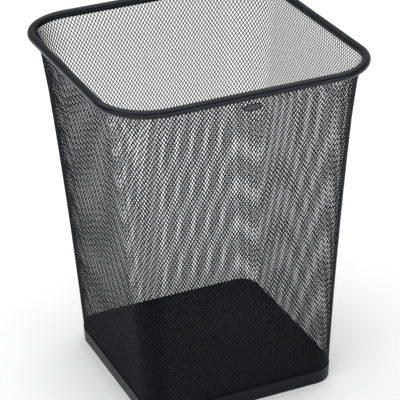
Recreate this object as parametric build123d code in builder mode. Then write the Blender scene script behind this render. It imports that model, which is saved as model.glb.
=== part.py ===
"""Square mesh wastebasket: a tapering sleeve of expanded steel between a rolled rim and a pan.

Millimetres, +Z up. The origin is the centre of the footprint, on the surface that the basket
stands on. The front, with the badge, faces -Y. The four sides are alike, so every width is
given once and holds both ways.
"""
import os
from math import atan, cos, degrees, sin

from build123d import *

# ---- driving dimensions ------------------------------------------------------------------
rim_width = 286.0  # over the rolled bead
height = 366.0  # floor to the top of the bead
foot_width = 210.4  # over the foot ring, at the floor

bead_diameter = 8.7
rim_corner_radius = 52.0  # of the bead's centre line
rim_strip = 0.7  # sheet thickness of the rim

mesh_thickness = 0.6
wall_bow = 1.8  # how far each side is drawn in from a straight line, half-way up
wall_flare = 5.0  # how far the mesh is turned outward at its top edge
flare_power = 24  # the higher, the nearer to the top the turn begins

foot_strip = 0.7  # sheet thickness of the foot ring
foot_lip_height = 15.6  # outer leg of the foot ring
foot_corner_radius = 23.0  # outside the foot ring
foot_channel = 7.2  # from the wall's outer face in to the inner leg's far side

pan_sheet = 0.6
pan_floor_height = 6.0  # top of the floor
pan_height = 18.8  # top of the upstand
pan_bend_radius = 4.0  # outside, between floor and upstand

badge_width = 20.6
badge_height = 8.2
badge_sheet = 0.9
badge_border = 0.9  # width of the raised border
badge_relief = 0.4  # height of the raised border
badge_drop = 6.8  # from the underside of the bead down to the badge
badge_margin = 1.0  # flat mesh above and below the badge
backing_inset = 0.8  # how much smaller the backing plate is, all round
backing_sheet = 0.6
prong_spacing = 12.0
prong_width = 3.0
prong_sheet = 0.6
prong_fold = 2.6  # length of the folded end

seat_gap = 0.15  # between pieces that lie against each other
bead_clearance = 0.6  # between the mesh and the inside of the bead
slot_clearance = 0.2  # round each prong

side_spans = 8  # straight spans of the wall between the pan and the badge
top_spans = 2  # straight spans of the wall above the badge

# ---- sizes that follow -------------------------------------------------------------------
bead_radius = bead_diameter / 2
bead_z = height - bead_radius
bead_half = rim_width / 2 - bead_radius

wall_foot_z = foot_strip
wall_foot_half = foot_width / 2 - foot_strip - seat_gap
wall_foot_corner = foot_corner_radius - foot_strip - seat_gap

# The mesh ends inside the bead, level with its centre and close to its inner side.
mesh_inset = bead_radius - rim_strip - bead_clearance - mesh_thickness
wall_top_half = bead_half - mesh_inset
wall_top_corner = rim_corner_radius - mesh_inset

pan_under_z = pan_floor_height - pan_sheet
pan_inset = mesh_thickness + seat_gap


def rise(z):
    """Share of the wall that lies below height z."""
    return (z - wall_foot_z) / (bead_z - wall_foot_z)


def wall_half(z):
    """Half the width over the mesh at height z: a straight taper, drawn in, then flared."""
    t = rise(z)
    taper = (wall_top_half - wall_flare - wall_foot_half) * t
    return wall_foot_half + taper - wall_bow * 4 * t * (1 - t) + wall_flare * t**flare_power


def wall_corner(z):
    """Corner radius of the mesh's outer face at height z, flared with the sides."""
    t = rise(z)
    taper = (wall_top_corner - wall_flare - wall_foot_corner) * t
    return wall_foot_corner + taper + wall_flare * t**flare_power


def spans(low, high, count):
    """The upper ends of count equal spans between two heights."""
    return [low + (high - low) * (i + 1) / count for i in range(count)]


# The wall is flat behind the badge, from seat_low to seat_high.
badge_z = height - bead_diameter - badge_drop - badge_height / 2
seat_low = badge_z - badge_height / 2 - badge_margin
seat_high = badge_z + badge_height / 2 + badge_margin

wall_levels = [wall_foot_z, foot_lip_height, pan_height]
wall_levels += spans(pan_height, seat_low, side_spans)
wall_levels += [seat_high] + spans(seat_high, bead_z, top_spans)

# Each outline of the mesh: height, half width and corner radius of its outer face.
wall_outlines = [(z, wall_half(z), wall_corner(z)) for z in wall_levels]

# ---- where the badge sits: flat against the outer face of the front wall -------------------
seat_lean = atan((wall_half(seat_high) - wall_half(seat_low)) / (seat_high - seat_low))
badge_seat_half = (wall_half(seat_high) + wall_half(seat_low)) / 2
badge_plane = Plane(
    origin=(0, -badge_seat_half, badge_z),
    x_dir=(1, 0, 0),
    z_dir=(0, -cos(seat_lean), -sin(seat_lean)),
)
backing_depth = mesh_thickness + seat_gap  # wall's outer face to the backing plate
fold_depth = backing_depth + backing_sheet  # to the face that the prongs are folded on

os.makedirs("parts", exist_ok=True)

# ---- rim: a rolled bead with a slit in its underside, where the mesh enters ------------------
last_span = wall_levels[-1] - wall_levels[-2]
flare_lean = atan((wall_top_half - wall_half(wall_levels[-2])) / last_span)
slit_width = mesh_thickness + 2 * seat_gap
slit_length = bead_diameter
slit_top = Vector(wall_top_half - mesh_thickness / 2, bead_z)
slit_centre = slit_top - Vector(sin(flare_lean), cos(flare_lean)) * slit_length / 2

with BuildPart() as rim:
    with BuildLine(Plane.XY.offset(bead_z)):
        straight = bead_half - rim_corner_radius
        Line((bead_half, 0), (bead_half, straight))
        CenterArc((straight, straight), rim_corner_radius, 0, 90)
        Line((straight, bead_half), (0, bead_half))
        mirror(about=Plane.YZ)
        mirror(about=Plane.XZ)
    with BuildSketch(Plane.XZ):
        with Locations((bead_half, bead_z)):
            Circle(bead_radius)
            Circle(bead_radius - rim_strip, mode=Mode.SUBTRACT)
        with Locations((slit_centre.X, slit_centre.Y)):
            Rectangle(slit_width, slit_length, rotation=-degrees(flare_lean), mode=Mode.SUBTRACT)
    sweep()
rim.part.label = "rim"

# ---- mesh wall: the closed envelope of the expanded sheet -----------------------------------
with BuildPart() as mesh_wall:
    for z, half, corner in wall_outlines:
        with BuildSketch(Plane.XY.offset(z)):
            RectangleRounded(2 * half, 2 * half, corner)
    loft(ruled=True)
    for z, half, corner in wall_outlines:
        inner = half - mesh_thickness
        with BuildSketch(Plane.XY.offset(z)):
            RectangleRounded(2 * inner, 2 * inner, corner - mesh_thickness)
    loft(ruled=True, mode=Mode.SUBTRACT)
    with BuildSketch(badge_plane):
        with GridLocations(prong_spacing, 0, 2, 1):
            Rectangle(prong_sheet + 2 * slot_clearance, prong_width + 2 * slot_clearance)
    extrude(amount=2 * mesh_thickness, both=True, mode=Mode.SUBTRACT)
mesh_wall.part.label = "mesh_wall"

# ---- base pan: floor and upstand, pressed from one sheet -------------------------------------
pan_path_z = (pan_under_z + pan_height) / 2
pan_path_half = wall_half(pan_path_z) - pan_inset
pan_path_corner = wall_corner(pan_path_z) - pan_inset
pan_side = pan_inset + pan_sheet / 2  # from the wall's outer face to the middle of the sheet
pan_flat_half = wall_half(pan_under_z) - pan_side - 2 * pan_bend_radius

with BuildPart() as base_pan:
    with BuildLine(Plane.XY.offset(pan_path_z)):
        straight = pan_path_half - pan_path_corner
        Line((pan_path_half, 0), (pan_path_half, straight))
        CenterArc((straight, straight), pan_path_corner, 0, 90)
        Line((straight, pan_path_half), (0, pan_path_half))
        mirror(about=Plane.YZ)
        mirror(about=Plane.XZ)
    with BuildSketch(Plane.XZ):
        with BuildLine():
            FilletPolyline(
                (pan_flat_half, pan_under_z + pan_sheet / 2),
                (wall_half(pan_under_z) - pan_side, pan_under_z + pan_sheet / 2),
                (wall_half(pan_height) - pan_side, pan_height),
                radius=pan_bend_radius - pan_sheet / 2,
            )
        trace(line_width=pan_sheet)
    sweep()
    with BuildSketch(Plane.XY.offset(pan_under_z)):
        flat_corner = pan_path_corner - (pan_path_half - pan_flat_half)
        RectangleRounded(2 * pan_flat_half, 2 * pan_flat_half, flat_corner)
    extrude(amount=pan_sheet)
base_pan.part.label = "base_pan"

# ---- foot ring: a channel round the mesh's bottom edge, whose inner leg carries the pan -----
foot_inner = wall_foot_half - foot_channel
foot_inner_corner = wall_foot_corner - foot_channel

with BuildPart() as foot_ring:
    for z in (0, foot_lip_height):
        half = wall_half(z) + seat_gap + foot_strip
        with BuildSketch(Plane.XY.offset(z)):
            RectangleRounded(2 * half, 2 * half, wall_corner(z) + seat_gap + foot_strip)
    loft(ruled=True)
    for z in (foot_strip, foot_lip_height):
        half = wall_half(z) + seat_gap
        with BuildSketch(Plane.XY.offset(z)):
            RectangleRounded(2 * half, 2 * half, wall_corner(z) + seat_gap)
    loft(ruled=True, mode=Mode.SUBTRACT)
    with BuildSketch():
        RectangleRounded(2 * foot_inner, 2 * foot_inner, foot_inner_corner)
    extrude(amount=foot_strip, mode=Mode.SUBTRACT)
    with BuildSketch():
        leg_half = foot_inner + foot_strip
        RectangleRounded(2 * leg_half, 2 * leg_half, foot_inner_corner + foot_strip)
        RectangleRounded(2 * foot_inner, 2 * foot_inner, foot_inner_corner, mode=Mode.SUBTRACT)
    extrude(amount=pan_under_z)
foot_ring.part.label = "foot_ring"

# ---- badge: bare oval plate with a raised border and two prongs -----------------------------
with BuildPart() as badge_plate:
    with BuildSketch(badge_plane.offset(seat_gap)):
        Ellipse(badge_width / 2, badge_height / 2)
    extrude(amount=badge_sheet)
    with BuildSketch(badge_plane.offset(seat_gap + badge_sheet)):
        Ellipse(badge_width / 2, badge_height / 2)
        Ellipse(badge_width / 2 - badge_border, badge_height / 2 - badge_border, mode=Mode.SUBTRACT)
    extrude(amount=badge_relief)
    with BuildSketch(badge_plane.offset(seat_gap)):
        with GridLocations(prong_spacing, 0, 2, 1):
            Rectangle(prong_sheet, prong_width)
    extrude(amount=-(seat_gap + fold_depth + prong_sheet))
    with BuildSketch(badge_plane.offset(-fold_depth)):
        with Locations((-prong_spacing / 2 - prong_sheet / 2, 0)):
            Rectangle(prong_fold, prong_width, align=(Align.MIN, Align.CENTER))
        with Locations((prong_spacing / 2 + prong_sheet / 2, 0)):
            Rectangle(prong_fold, prong_width, align=(Align.MAX, Align.CENTER))
    extrude(amount=-prong_sheet)
badge_plate.part.label = "badge_plate"

# ---- backing plate: inside the mesh, under the folded prongs --------------------------------
with BuildPart() as badge_backing:
    with BuildSketch(badge_plane.offset(-backing_depth)):
        Ellipse(badge_width / 2 - backing_inset, badge_height / 2 - backing_inset)
        with GridLocations(prong_spacing, 0, 2, 1):
            Rectangle(
                prong_sheet + 2 * slot_clearance,
                prong_width + 2 * slot_clearance,
                mode=Mode.SUBTRACT,
            )
    extrude(amount=-backing_sheet)
badge_backing.part.label = "badge_backing"

export_step(rim.part, "parts/rim.step")
export_step(mesh_wall.part, "parts/mesh_wall.step")
export_step(base_pan.part, "parts/base_pan.step")
export_step(foot_ring.part, "parts/foot_ring.step")
export_step(badge_plate.part, "parts/badge_plate.step")
export_step(badge_backing.part, "parts/badge_backing.step")
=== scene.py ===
# %% [markdown]
# # A square wastebasket of expanded steel
# The basket is a tapering sleeve of fine steel mesh between a rolled rim and a pressed pan, all
# of it sprayed with black powder paint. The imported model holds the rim, the pan, the foot ring
# and the badge at their real size, so this lesson keeps those and gives them their paint. The
# sleeve is only a closed skin there, and its thousands of diamond openings are made here.

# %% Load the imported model
import math

import bmesh
import bpy
import numpy as np
from mathutils import Matrix, Vector


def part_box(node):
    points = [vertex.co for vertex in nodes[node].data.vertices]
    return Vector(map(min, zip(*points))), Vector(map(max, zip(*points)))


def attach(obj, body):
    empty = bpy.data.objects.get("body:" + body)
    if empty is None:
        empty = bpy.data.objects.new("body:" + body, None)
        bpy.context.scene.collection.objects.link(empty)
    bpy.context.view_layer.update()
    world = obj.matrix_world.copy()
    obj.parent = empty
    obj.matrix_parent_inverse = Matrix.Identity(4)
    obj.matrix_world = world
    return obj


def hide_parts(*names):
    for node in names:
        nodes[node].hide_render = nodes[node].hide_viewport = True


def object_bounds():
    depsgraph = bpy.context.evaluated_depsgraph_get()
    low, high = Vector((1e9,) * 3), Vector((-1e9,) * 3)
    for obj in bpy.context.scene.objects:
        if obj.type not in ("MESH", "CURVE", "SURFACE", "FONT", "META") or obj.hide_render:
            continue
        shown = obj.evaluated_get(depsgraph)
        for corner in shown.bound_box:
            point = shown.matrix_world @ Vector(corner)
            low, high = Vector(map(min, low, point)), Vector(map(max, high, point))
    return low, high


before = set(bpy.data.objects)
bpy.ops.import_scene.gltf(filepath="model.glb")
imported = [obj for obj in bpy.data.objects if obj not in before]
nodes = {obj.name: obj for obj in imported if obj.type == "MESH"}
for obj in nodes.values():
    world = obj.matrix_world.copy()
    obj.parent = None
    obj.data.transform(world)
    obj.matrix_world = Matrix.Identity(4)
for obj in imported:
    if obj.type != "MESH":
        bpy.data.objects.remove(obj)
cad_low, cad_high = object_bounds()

mm = 0.001
height = cad_high.z - cad_low.z
print(f"basket {1000 * (cad_high.x - cad_low.x):.1f} mm wide and {1000 * height:.1f} mm tall")

# %% [markdown]
# ## Shader sums as Python
# Paint needs a few sums on its patterns, such as a base roughness plus a little of one noise.
# Adding each Math node by hand hides the sum, so a small class wraps a socket, and + and * on it
# add the nodes. Every other node comes from one method that takes its settings and its inputs.

# %% A socket that does sums
class Value:
    """A shader socket: sums on it add Math nodes."""

    def __init__(self, paint, socket):
        self.paint = paint
        self.socket = socket

    def sum_with(self, operation, first, second):
        return self.paint.node("ShaderNodeMath", {"operation": operation}, {0: first, 1: second})

    def __add__(self, other):
        return self.sum_with("ADD", self, other)

    def __radd__(self, other):
        return self.sum_with("ADD", other, self)

    def __sub__(self, other):
        return self.sum_with("SUBTRACT", self, other)

    def __rsub__(self, other):
        return self.sum_with("SUBTRACT", other, self)

    def __mul__(self, other):
        return self.sum_with("MULTIPLY", self, other)

    def __rmul__(self, other):
        return self.sum_with("MULTIPLY", other, self)


# %% A paint: a material and the method that adds its nodes
class Paint:
    """A material whose nodes are added one call at a time."""

    def __init__(self, name):
        self.material = bpy.data.materials.new(name)
        self.material.use_nodes = True
        self.tree = self.material.node_tree
        self.shader = self.tree.nodes["Principled BSDF"]
        self.place = self.node("ShaderNodeTexCoord", {}, {}, "Object")

    def node(self, kind, settings, inputs, output=0):
        made = self.tree.nodes.new(kind)
        for name, value in settings.items():
            setattr(made, name, value)
        for name, value in inputs.items():
            self.feed(made.inputs[name], value)
        return Value(self, made.outputs[output])

    def feed(self, socket, value):
        if isinstance(value, Value):
            self.tree.links.new(value.socket, socket)
        else:
            socket.default_value = value

    def noise(self, size, detail):
        """Noise from 0 to 1 whose blotches are about size across, in metres."""
        inputs = {"Vector": self.place, "Scale": 1 / size, "Detail": detail}
        return self.node("ShaderNodeTexNoise", {}, inputs, "Fac")

    def ramp(self, value, low, high):
        """0 below low, 1 above high, and a straight line between."""
        inputs = {"Value": value, "From Min": low, "From Max": high}
        return self.node("ShaderNodeMapRange", {}, inputs, "Result")

    def blend(self, share, first, second):
        """The first colour where share is 0 and the second where it is 1."""
        inputs = {"Factor": share, 6: first, 7: second}
        return self.node("ShaderNodeMix", {"data_type": "RGBA"}, inputs, 2)

    def bump(self, height, strength, distance):
        inputs = {"Height": height, "Strength": strength, "Distance": distance}
        return self.node("ShaderNodeBump", {}, inputs, "Normal")

    def put(self, name, value):
        self.feed(self.shader.inputs[name], value)


def rgb(red, green, blue):
    return (red, green, blue, 1.0)


# %% [markdown]
# ## Black powder paint
# Powder paint is melted on in an oven, so it has a soft gloss and a fine skin like orange peel.
# It could be one flat black, but the real finish differs from place to place: blotches where the
# film is thicker and glossier, and a little pale dust. Two noises of different size drive the
# roughness, a third the dust, and the finest one the bump.

# %% Powder paint
dust_lightness = 0.015
peel_depth = 0.06 * mm
peel_size = 1.1 * mm
fine_peel_size = 0.8 * mm


def powder_paint(name, colour, smoothest, peel, gloss, dust=0.25):
    """Black paint: smoothest is its least roughness, peel the size of its orange peel."""
    paint = Paint(name)
    film = paint.noise(38 * mm, detail=3.0)
    grain = paint.noise(2.2 * mm, detail=2.0)
    skin = paint.noise(peel, detail=1.0)
    specks = paint.ramp(paint.noise(7 * mm, detail=5.0), low=0.56, high=0.74)
    dusty = tuple(channel + dust_lightness for channel in colour)
    paint.put("Base Color", paint.blend(specks * dust, rgb(*colour), rgb(*dusty)))
    paint.put("Roughness", smoothest + 0.10 * film + 0.05 * grain + 0.08 * specks)
    paint.put("Normal", paint.bump(skin, strength=0.35, distance=peel_depth))
    paint.put("Specular IOR Level", gloss)
    print(f"{name}: roughness about {smoothest + 0.1:.2f}")
    return paint.material


rim_paint = powder_paint("rim_powder_paint", (0.004, 0.006, 0.010), 0.17, peel_size, gloss=0.22)
mesh_paint = powder_paint("mesh_powder_paint", (0.002, 0.004, 0.008), 0.30, fine_peel_size, gloss=0.14)
foot_paint = powder_paint("foot_powder_paint", (0.001, 0.003, 0.008), 0.34, peel_size, gloss=0.20)
pan_paint = powder_paint("pan_powder_paint", (0.001, 0.003, 0.007), 0.40, peel_size, gloss=0.05, dust=0.15)


# %% [markdown]
# ## Badge lacquer with painted shade, and bare zinc
# The oval badge is a stamped plate, lacquered rather than powder painted: black on its raised
# border and a satin grey, a little worn, on the bare field inside it. The border's black is partly
# the lacquer's own and partly painted shade, standing in for the shadow at the badge's edge. The
# two are parted by the ellipse of the field's edge, worked out from the place on the plate. Its
# backing plate inside the sleeve is plain zinc-plated steel, whose plating shows as crystals
# about 2 mm across.

# %% Badge finishes
badge_low, badge_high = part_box("badge_plate")
badge_border = 1.0 * mm
field_width = badge_high.x - badge_low.x - 2 * badge_border
field_height = badge_high.z - badge_low.z - 2 * badge_border
crystals_per_metre = 420.0
print(f"badge field {1000 * field_width:.1f} by {1000 * field_height:.1f} mm")


def badge_lacquer_and_shade():
    paint = Paint("badge_lacquer_and_shade")
    x = paint.node("ShaderNodeSeparateXYZ", {}, {"Vector": paint.place}, "X")
    z = paint.node("ShaderNodeSeparateXYZ", {}, {"Vector": paint.place}, "Z")
    across = x * (2 / field_width)
    up = (z - (badge_high.z + badge_low.z) / 2) * (2 / field_height)
    # The border is painted near black: partly the lacquer's own black, partly painted shade at the badge's
    # edge.
    border_and_shade = paint.ramp(across * across + up * up, low=0.9, high=1.1)
    wear = paint.ramp(paint.noise(0.9 * mm, detail=4.0), low=0.40, high=0.75)
    field = paint.blend(wear, rgb(0.038, 0.043, 0.052), rgb(0.066, 0.072, 0.082))
    paint.put("Base Color", paint.blend(border_and_shade, field, rgb(0.003, 0.004, 0.006)))
    paint.put("Roughness", 0.30 + 0.14 * wear)
    paint.put("Specular IOR Level", 0.25)
    return paint.material


def zinc_plate():
    paint = Paint("zinc_plate")
    inputs = {"Vector": paint.place, "Scale": crystals_per_metre}
    crystals = paint.node("ShaderNodeTexVoronoi", {}, inputs, "Color")
    tone = paint.node("ShaderNodeSeparateColor", {}, {"Color": crystals}, "Red")
    paint.put("Base Color", paint.blend(tone, rgb(0.36, 0.37, 0.39), rgb(0.50, 0.51, 0.53)))
    paint.put("Metallic", 1.0)
    paint.put("Roughness", 0.34 + 0.16 * tone)
    return paint.material


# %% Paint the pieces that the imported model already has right
def paint_node(name, material):
    data = nodes[name].data
    data.materials.clear()
    data.materials.append(material)
    print(f"{name}: {len(data.polygons)} faces, {material.name}")


paint_node("rim", rim_paint)
paint_node("base_pan", pan_paint)
paint_node("foot_ring", foot_paint)
paint_node("badge_plate", badge_lacquer_and_shade())
paint_node("badge_backing", zinc_plate())

# %% [markdown]
# ## The sleeve's outline
# The sleeve is square with round corners, and it widens upwards, a little more near the top
# than near the foot. Its size could be typed in again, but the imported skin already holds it: at
# each level, the furthest point along X is half the width, and the length of the straight edge
# there gives the corner radius. A real level has the points of four round corners, and the odd
# point that lies between levels is passed over.

# %% Read the sleeve's outline, level by level
touching = 0.02 * mm
fewest_points = 100
right_from = 0.3 * cad_high.x
skin_points = np.array([point.co for point in nodes["mesh_wall"].data.vertices])
right_side = skin_points[skin_points[:, 0] > right_from]

outlines = []
for level in np.unique(right_side[:, 2].round(5)):
    row = right_side[abs(right_side[:, 2] - level) < touching]
    if len(row) < fewest_points:
        continue
    half_width = row[:, 0].max()
    straight = abs(row[row[:, 0] > half_width - touching][:, 1]).max()
    outlines.append((level, half_width, half_width - straight))

levels, half_widths, corner_radii = np.array(outlines).T
print(f"{len(levels)} levels, half width {1000 * half_widths.min():.1f} to {1000 * half_widths.max():.1f} mm")

# %% [markdown]
# ## One diamond of expanded metal
# Expanded metal is sheet that is slit in staggered rows and pulled until the slits open. Every
# opening is an upright diamond, sharp at its top and bottom and blunt at its sides, where two
# strands meet in a bond. One tile holds one opening: a diamond face, inset by half a strand,
# with the middle taken out and its side corners cut blunt. The press also tips the strands out
# of the sheet, so the two side corners of an opening go in opposite ways, one in and one out.

# %% One tile of the mesh
strand = 1.03 * mm
strand_twist = 0.26 * mm  # how far a side corner of an opening is tipped out of the sheet
side_blunting = 0.35 * mm
diamond_height = 5.7 * mm
columns = 242
sleeve_height = levels[-1] - levels[0]
rows = round(sleeve_height / diamond_height)
middle = len(levels) // 2
way_round = 8 * (half_widths[middle] - corner_radii[middle]) + 2 * math.pi * corner_radii[middle]
diamond_width = way_round / columns


def one_tile():
    """A diamond of metal round one opening, in metres, centred on the origin."""
    tile = bmesh.new()
    bmesh.ops.create_circle(tile, cap_ends=True, radius=0.5, segments=4)
    bmesh.ops.scale(tile, vec=(diamond_width, diamond_height, 1), verts=tile.verts)
    middle_face = tile.faces[:]
    bmesh.ops.inset_individual(tile, faces=middle_face, thickness=strand / 2)
    opening = middle_face[0]
    sides = [corner for corner in opening.verts if abs(corner.co.x) > 0.1 * diamond_width]
    bmesh.ops.delete(tile, geom=[opening], context="FACES_ONLY")
    bmesh.ops.bevel(
        tile,
        geom=sides,
        offset=side_blunting,
        affect="VERTICES",
        segments=1,
        profile=0.5,
        material=-1,
    )
    for corner in tile.verts:
        across = abs(corner.co.x) / diamond_width
        if 0.1 < across < 0.45 and abs(corner.co.y) < 0.1 * diamond_height:
            corner.co.z = -math.copysign(strand_twist, corner.co.x)
    return tile


tile = one_tile()
print(f"diamond {1000 * diamond_width:.2f} by {1000 * diamond_height:.2f} mm, {len(tile.faces)} faces")
tile.free()

# %% [markdown]
# ## A panel of diamonds
# Repeated by a modifier, some thirty thousand tiles would be slow to edit. Here one column
# is built by stacking tiles upwards, then copied sideways. The top and bottom edges are cut
# straight, as the shears leave them, through the strands and not through the bonds, because a cut
# that meets a corner leaves faces of no size. The sleeve is made of eight such panels, so that
# none is too heavy.

# %% Repeat the tile into a flat panel
panels = 8


def repeat(sheet, piece, times, step):
    """Copies piece times - 1 more times, each one step further on."""
    for count in range(1, times):
        copied = bmesh.ops.duplicate(sheet, geom=piece)["geom"]
        corners = [part for part in copied if isinstance(part, bmesh.types.BMVert)]
        bmesh.ops.translate(sheet, vec=Vector(step) * count, verts=corners)


def flat_panel(width, low, high):
    """A flat sheet of the mesh, width columns wide, cut off below low and above high."""
    sheet = one_tile()
    first = sheet.verts[:] + sheet.edges[:] + sheet.faces[:]
    repeat(sheet, first, 2, (diamond_width / 2, diamond_height / 2, 0))
    pair = sheet.verts[:] + sheet.edges[:] + sheet.faces[:]
    repeat(sheet, pair, rows + 1, (0, diamond_height, 0))
    column = sheet.verts[:] + sheet.edges[:] + sheet.faces[:]
    repeat(sheet, column, width, (diamond_width, 0, 0))
    bmesh.ops.remove_doubles(sheet, verts=sheet.verts, dist=touching)
    for edge, outward in ((low, -1), (high, 1)):
        everything = sheet.verts[:] + sheet.edges[:] + sheet.faces[:]
        bmesh.ops.bisect_plane(
            sheet, geom=everything, plane_co=(0, edge, 0), plane_no=(0, outward, 0), clear_outer=True
        )
    return sheet


# %% [markdown]
# ## Wrapping a panel round the sleeve
# The flat sheet is rolled into a sleeve and then stretched over a tapered form. Every column of
# diamonds goes from the foot to the rim, so the columns fan out, and the diamonds are wider at
# the top. The stretching also leaves the columns leaning a little to one side.

# %% Wrap flat points round the sleeve
lean = math.tan(math.radians(1.4))


def wrap(flat_x, flat_y, lift):
    """Places flat points lift outside the sleeve. flat_x starts in the middle of the +X side."""
    up = flat_y / (rows * diamond_height)
    z = levels[0] + up * sleeve_height
    half = np.interp(z, levels, half_widths)
    corner = np.interp(z, levels, corner_radii)
    flat = 2 * (half - corner)
    side = flat + corner * math.pi / 2
    round_share = (flat_x - lean * flat_y) / (columns * diamond_width)
    along = (round_share % 1.0) * 4 * side + flat / 2
    turn = np.floor(along / side)
    along = along - turn * side
    angle = np.clip((along - flat) / corner, 0, None)
    x = half - corner + (corner + lift) * np.cos(angle)
    y = np.minimum(along, flat) - flat / 2 + (corner + lift) * np.sin(angle)
    swing = turn * math.pi / 2
    return np.stack([x * np.cos(swing) - y * np.sin(swing), x * np.sin(swing) + y * np.cos(swing), z], 1)


def wrapped_mesh(name, sheet, first_column, inset=0.0):
    """A mesh of the flat sheet, wrapped from first_column on, with a map of its place on the sleeve."""
    data = bpy.data.meshes.new(name)
    sheet.to_mesh(data)
    flat = np.array([corner.co for corner in data.vertices])
    flat += (first_column * diamond_width, 0, -inset)
    data.vertices.foreach_set("co", wrap(*flat.T).astype(np.float32).ravel())
    loop_points = np.zeros(len(data.loops), np.int32)
    data.loops.foreach_get("vertex_index", loop_points)
    sheet_map = data.uv_layers.new(name="OFBake")
    places = flat[loop_points][:, :2] / (columns * diamond_width)
    sheet_map.uv.foreach_set("vector", places.astype(np.float32).ravel())
    data.materials.append(mesh_paint)
    return data


# %% Show a wrapped mesh as part of the sleeve
sheet_thickness = 0.44 * mm


def add_sleeve_piece(name, data, thickness):
    """Shows a wrapped mesh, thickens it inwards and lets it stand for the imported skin."""
    piece = bpy.data.objects.new(name, data)
    bpy.context.scene.collection.objects.link(piece)
    if thickness:
        thicken = piece.modifiers.new("thickness", "SOLIDIFY")
        thicken.thickness = thickness
        thicken.offset = -1.0
    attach(piece, "root")
    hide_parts("mesh_wall")
    print(f"{name}: {len(data.polygons)} faces")


# %% Make the eight panels, from the seam on
side_to_corner = 1 / 8  # of the way round, from the middle of the +X side
seam_column = round(side_to_corner * columns)
flat_height = rows * diamond_height
edge_trim = 0.25 * diamond_height
borders = [round(columns * count / panels) for count in range(panels + 1)]
for count in range(panels):
    name = f"mesh_panel_{count + 1}"
    panel = flat_panel(borders[count + 1] - borders[count], edge_trim, flat_height - edge_trim)
    data = wrapped_mesh(name, panel, seam_column + borders[count])
    add_sleeve_piece(name, data, sheet_thickness)
    panel.free()

# %% [markdown]
# ## The seam
# A sleeve is one sheet rolled round until its ends meet, and they are joined by spot welds. The
# join is put at the back right corner, where a maker would hide it. The cut ends meet bond to
# bond, so the only trace is the welds. Each one is a small flat button that takes in a whole
# bond of the join, so it is a little deeper than the twisted strands.

# %% Make the welds
weld_radius = 0.9 * mm
weld_rounding = 0.2 * mm
weld_margin = 0.2 * mm
weld_depth = sheet_thickness + 2 * strand_twist + weld_margin
rows_per_weld = 6
pan_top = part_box("base_pan")[1].z
rim_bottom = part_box("rim")[0].z
first_bond = math.ceil((pan_top - levels[0]) / diamond_height) + 1
last_bond = int((rim_bottom - levels[0]) / diamond_height) - 1

welds = bmesh.new()
for row in range(first_bond, last_bond, rows_per_weld):
    weld = bmesh.ops.create_cone(
        welds, cap_ends=True, segments=20, radius1=weld_radius, radius2=weld_radius, depth=weld_depth
    )
    bmesh.ops.translate(welds, vec=(0, (row + 0.5) * diamond_height, 0), verts=weld["verts"])
bmesh.ops.bevel(
    welds,
    geom=[edge for edge in welds.edges if abs(edge.verts[0].co.z - edge.verts[1].co.z) < touching],
    offset=weld_rounding,
    affect="EDGES",
    segments=2,
    profile=0.5,
    material=-1,
)
data = wrapped_mesh("seam_welds", welds, seam_column, sheet_thickness / 2)
add_sleeve_piece("seam_welds", data, 0)
welds.free()

# %% [markdown]
# ## Studio
# Black steel shows little but what it mirrors, so the lights are large and plain: a wide soft
# box overhead, which also lights the pale floor, a small one on the left that draws out the left
# edges, and two low strips, in front and at the left corner, whose mirror image is the thin
# light line along the rim.

# %% Floor and surround
floor_data = bpy.data.meshes.new("floor")
floor_sheet = bmesh.new()
bmesh.ops.create_grid(floor_sheet, x_segments=1, y_segments=1, size=20)
floor_sheet.to_mesh(floor_data)
floor_sheet.free()
floor_width = 2 * max(corner.co.x for corner in floor_data.vertices)
print(f"floor {floor_width:.0f} m across")
floor = bpy.data.objects.new("floor", floor_data)
bpy.context.scene.collection.objects.link(floor)
floor_paint = Paint("floor_paint")
floor_paint.put("Base Color", rgb(0.93, 0.93, 0.93))
floor_paint.put("Roughness", 0.8)
floor_data.materials.append(floor_paint.material)

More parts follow.
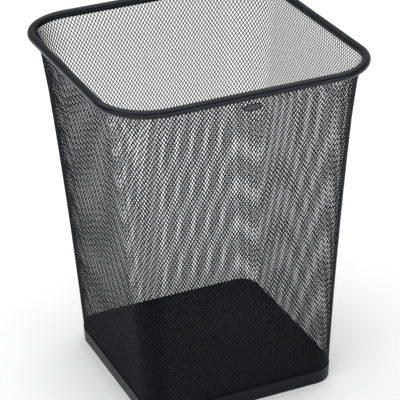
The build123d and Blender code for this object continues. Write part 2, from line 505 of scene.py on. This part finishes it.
surround = bpy.data.worlds.new("surround")
bpy.context.scene.world = surround
surround.use_nodes = True
surround.node_tree.nodes["Background"].inputs["Color"].default_value = rgb(1, 1, 1)
surround.node_tree.nodes["Background"].inputs["Strength"].default_value = 0.32
bpy.context.scene.view_settings.view_transform = "Standard"


# %% Lights
def soft_box(name, place, target, width, depth, power):
    light = bpy.data.lights.new(name, "AREA")
    light.shape = "RECTANGLE"
    light.size = width
    light.size_y = depth
    light.energy = power
    box = bpy.data.objects.new(name, light)
    box.location = place
    box.rotation_mode = "QUATERNION"
    box.rotation_quaternion = (Vector(target) - Vector(place)).to_track_quat("-Z", "Y")
    box.visible_camera = False
    bpy.context.scene.collection.objects.link(box)
    print(f"{name}: {power} W, {width} by {depth} m")


soft_box("overhead_light", (0, 0.3, 2.2), (0, 0.3, 0), width=4.0, depth=4.0, power=84)
soft_box("left_light", (-2.2, -0.5, 0.8), (0, 0, 0.25), width=1.2, depth=1.2, power=8)
soft_box("front_strip", (0.35, -1.65, 0.2), (0.35, 0, 0.2), width=2.4, depth=0.16, power=9)
soft_box("corner_strip", (-1.25, -1.2, 0.2), (0, 0, 0.2), width=0.6, depth=0.16, power=3)

# %% [markdown]
# ## Camera
# A long lens, well back and a little above the rim, keeps the sides nearly parallel. It stands
# to the left of the front, and it is level but for a small tilt.

# %% Camera
azimuth = math.radians(-23.26)
elevation = math.radians(27.13)
tilt = math.radians(-1.685)
distance = 1.9431
look_at = Vector((0.0014, 0.0028, 0.1861))

back = Vector(
    (
        math.sin(azimuth) * math.cos(elevation),
        -math.cos(azimuth) * math.cos(elevation),
        math.sin(elevation),
    )
)
level_right = Vector((math.cos(azimuth), math.sin(azimuth), 0))
level_up = back.cross(level_right)
right = math.cos(tilt) * level_right + math.sin(tilt) * level_up
upward = back.cross(right)

camera_data = bpy.data.cameras.new("camera")
camera_data.lens = 168.5
camera_data.sensor_width = 36.0
camera = bpy.data.objects.new("camera", camera_data)
bpy.context.scene.collection.objects.link(camera)
camera.matrix_world = Matrix.Translation(look_at + back * distance) @ (
    Matrix((right, upward, back)).transposed().to_4x4()
)
bpy.context.scene.camera = camera
print(f"camera {distance:.2f} m from the basket, {camera_data.lens:.1f} mm lens")
